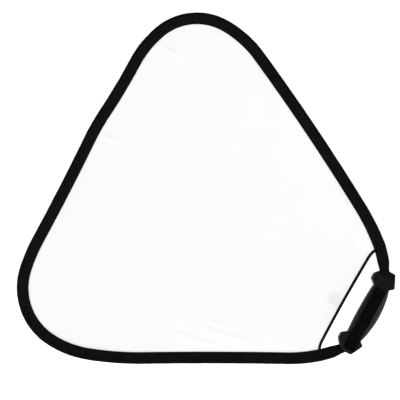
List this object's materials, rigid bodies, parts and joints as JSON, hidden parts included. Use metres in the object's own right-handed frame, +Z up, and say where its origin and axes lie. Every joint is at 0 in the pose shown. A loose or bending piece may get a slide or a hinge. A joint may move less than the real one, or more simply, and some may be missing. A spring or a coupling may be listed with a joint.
{
  "type": "collapsible reflector",
  "caption": "Rounded triangular white fabric reflector on a sprung steel rim with black edge binding, a moulded corner grip and a webbing hand strap.",
  "frame": {"origin": "middle of the hand grip, in the plane of the sprung rim", "axes": "+X to the right and +Z up with the panel upright as it is held, -Y towards the front, where the hand strap is; the grip runs at 60.8 degrees above +X at the lower right corner"},
  "size_m": [0.7507, 0.048, 0.6985],
  "materials": {
    "spring_steel": "blued flat spring steel, satin",
    "binding_tape": "black woven polyester tape, slightly padded, faint sheen",
    "panel_fabric": "white translucent nylon, fine plain weave, matt",
    "edge_tape": "narrow black folded tape, stitched",
    "label_tape": "blank pale grey satin tape",
    "inner_plastic": "moulded acetal, natural mould finish",
    "screw_steel": "black zinc plated steel",
    "shell_plastic": "black moulded ABS, fine spark texture",
    "pad_rubber": "black soft overmoulded rubber, satin",
    "webbing": "black ribbed webbing, stitched",
    "loop_pile": "black looped pile",
    "hook_tape": "black hook tape",
    "tip_plastic": "black moulded end cap",
    "pin_steel": "bright drawn steel"
  },
  "bodies": {
    "reflector": {"rim_spring_band": "spring_steel", "band_joint_sleeve": "spring_steel", "edge_binding": "binding_tape", "white_panel": "panel_fabric", "panel_edge_tape": "edge_tape", "sewn_label": "label_tape", "rim_clamp_upper": "inner_plastic", "rim_clamp_lower": "inner_plastic", "shell_screws": "screw_steel", "handle_front_shell": "shell_plastic", "handle_rear_shell": "shell_plastic", "grip_pad_palm": "pad_rubber", "grip_pad_fingers": "pad_rubber", "hand_strap": "webbing", "loop_patch": "loop_pile", "strap_pin_upper": "pin_steel", "strap_pin_lower": "pin_steel"},
    "tab": {"strap_tab": "webbing", "hook_patch": "hook_tape", "strap_tip": "tip_plastic"}
  },
  "joints": [
    {"name": "strap_tab_peel", "type": "hinge", "parent": "reflector", "child": "tab", "pos_m": [-0.03597, -0.01063, -0.06436], "axis": [0.8729, 0, -0.4879], "range_deg": [0, 110]}
  ]
}
